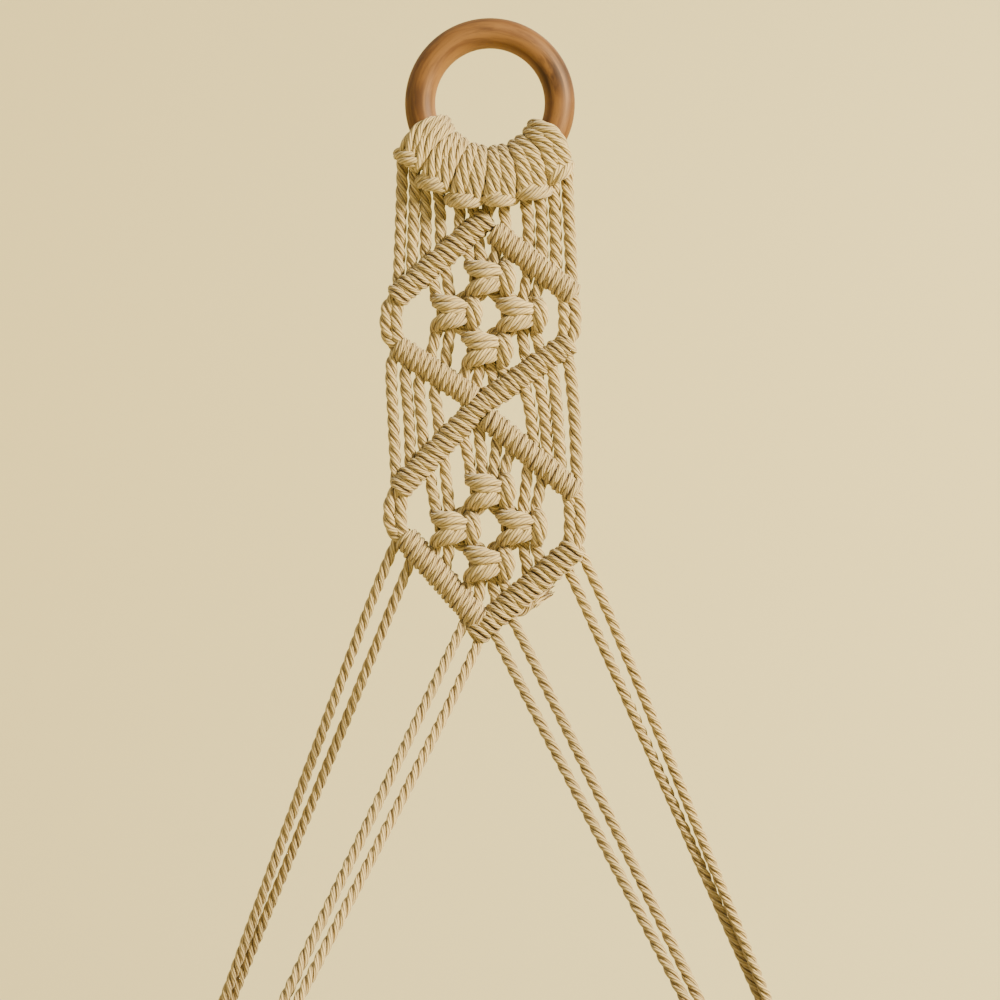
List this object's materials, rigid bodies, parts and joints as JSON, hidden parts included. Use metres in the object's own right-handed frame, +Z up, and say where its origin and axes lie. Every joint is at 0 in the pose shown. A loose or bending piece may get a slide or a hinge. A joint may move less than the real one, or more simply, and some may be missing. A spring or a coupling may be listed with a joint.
{
  "type": "hanging macrame planter",
  "caption": "Hanging plant holder: knotted cotton panel on a wooden ring, with cord arms that spread to a net round a plain tapered pot, and a tassel.",
  "frame": {"origin": "the top of the ring's hole, where the hook or nail bears", "axes": "+Z up, +X to the right seen from the front, +Y away from the front, towards the wall"},
  "size_m": [0.2125, 0.211, 0.6793],
  "materials": {
    "ring_wood": "turned, oiled, satin",
    "cotton_cord": "twisted natural cotton",
    "pot_ceramic": "matt fired clay"
  },
  "bodies": {
    "ring": {"hanging_ring": "ring_wood"},
    "knot_band": {"larks_head_1": "cotton_cord", "larks_head_2": "cotton_cord", "larks_head_3": "cotton_cord", "larks_head_4": "cotton_cord", "larks_head_5": "cotton_cord", "larks_head_6": "cotton_cord"},
    "panel": {"first_upper_left_row": "cotton_cord", "first_upper_right_row": "cotton_cord", "first_lower_left_row": "cotton_cord", "first_lower_right_row": "cotton_cord", "second_upper_left_row": "cotton_cord", "second_upper_right_row": "cotton_cord", "second_lower_left_row": "cotton_cord", "second_lower_right_row": "cotton_cord", "first_top_knot": "cotton_cord", "first_left_knot": "cotton_cord", "first_right_knot": "cotton_cord", "first_bottom_knot": "cotton_cord", "second_top_knot": "cotton_cord", "second_left_knot": "cotton_cord", "second_right_knot": "cotton_cord", "second_bottom_knot": "cotton_cord", "upper_left_cords": "cotton_cord", "upper_centre_cords": "cotton_cord", "upper_right_cords": "cotton_cord", "first_inner_cords": "cotton_cord", "middle_left_cords": "cotton_cord", "middle_right_cords": "cotton_cord", "second_inner_cords": "cotton_cord", "trimmed_tails": "cotton_cord"},
    "net": {"far_left_outer_arm": "cotton_cord", "far_left_inner_arm": "cotton_cord", "far_right_outer_arm": "cotton_cord", "far_right_inner_arm": "cotton_cord", "near_left_outer_arm": "cotton_cord", "near_left_inner_arm": "cotton_cord", "near_right_outer_arm": "cotton_cord", "near_right_inner_arm": "cotton_cord", "upper_tie_1": "cotton_cord", "upper_tie_2": "cotton_cord", "upper_tie_3": "cotton_cord", "upper_tie_4": "cotton_cord", "lower_tie_1": "cotton_cord", "lower_tie_2": "cotton_cord", "lower_tie_3": "cotton_cord", "lower_tie_4": "cotton_cord", "net_side_cords": "cotton_cord", "net_base_cords": "cotton_cord", "gathering_wrap": "cotton_cord"},
    "pot": {"pot": "pot_ceramic"},
    "tassel": {"tassel": "cotton_cord"}
  },
  "joints": [
    {"name": "ring_turn", "type": "hinge", "parent": "ring", "child": "knot_band", "pos_m": [0, 0, -0.018], "axis": [0, 1, 0], "continuous": true},
    {"name": "panel_swing", "type": "hinge", "parent": "knot_band", "child": "panel", "pos_m": [0, 0, -0.054], "axis": [1, 0, 0], "range_deg": [-45, 45]},
    {"name": "net_swing", "type": "hinge", "parent": "panel", "child": "net", "pos_m": [0, 0, -0.182], "axis": [1, 0, 0], "range_deg": [-45, 45]},
    {"name": "pot_turn", "type": "hinge", "parent": "net", "child": "pot", "pos_m": [0.001, 0, -0.425], "axis": [0, 0, 1], "continuous": true},
    {"name": "tassel_swing", "type": "hinge", "parent": "net", "child": "tassel", "pos_m": [0.001, 0, -0.5913], "axis": [1, 0, 0], "range_deg": [-50, 50]}
  ]
}
